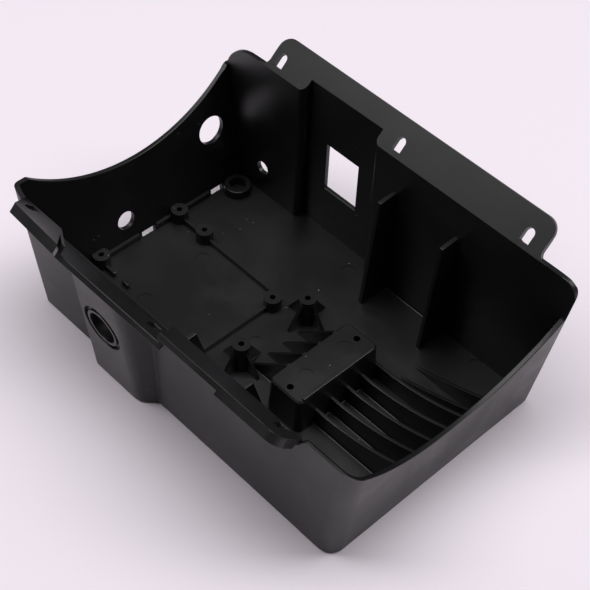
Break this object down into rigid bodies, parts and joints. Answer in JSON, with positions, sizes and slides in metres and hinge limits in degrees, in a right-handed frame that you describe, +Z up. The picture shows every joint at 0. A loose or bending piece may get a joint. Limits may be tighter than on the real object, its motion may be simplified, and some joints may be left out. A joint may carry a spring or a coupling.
{
  "type": "moulded plastic housing",
  "caption": "Open-topped moulded plastic housing tray with saddle-shaped end walls, inclined slotted flanges, a switch bay, a gland pad and bosses, ribs and fins inside.",
  "frame": {"origin": "middle of the flat underside", "axes": "+X along the length from the left wall to the right wall, +Y from the gland pad side to the switch bay side, +Z up"},
  "size_m": [0.2303, 0.1672, 0.1042],
  "materials": {
    "housing": "black, satin as moulded"
  },
  "bodies": {
    "root": {"housing": "housing"}
  },
  "joints": []
}
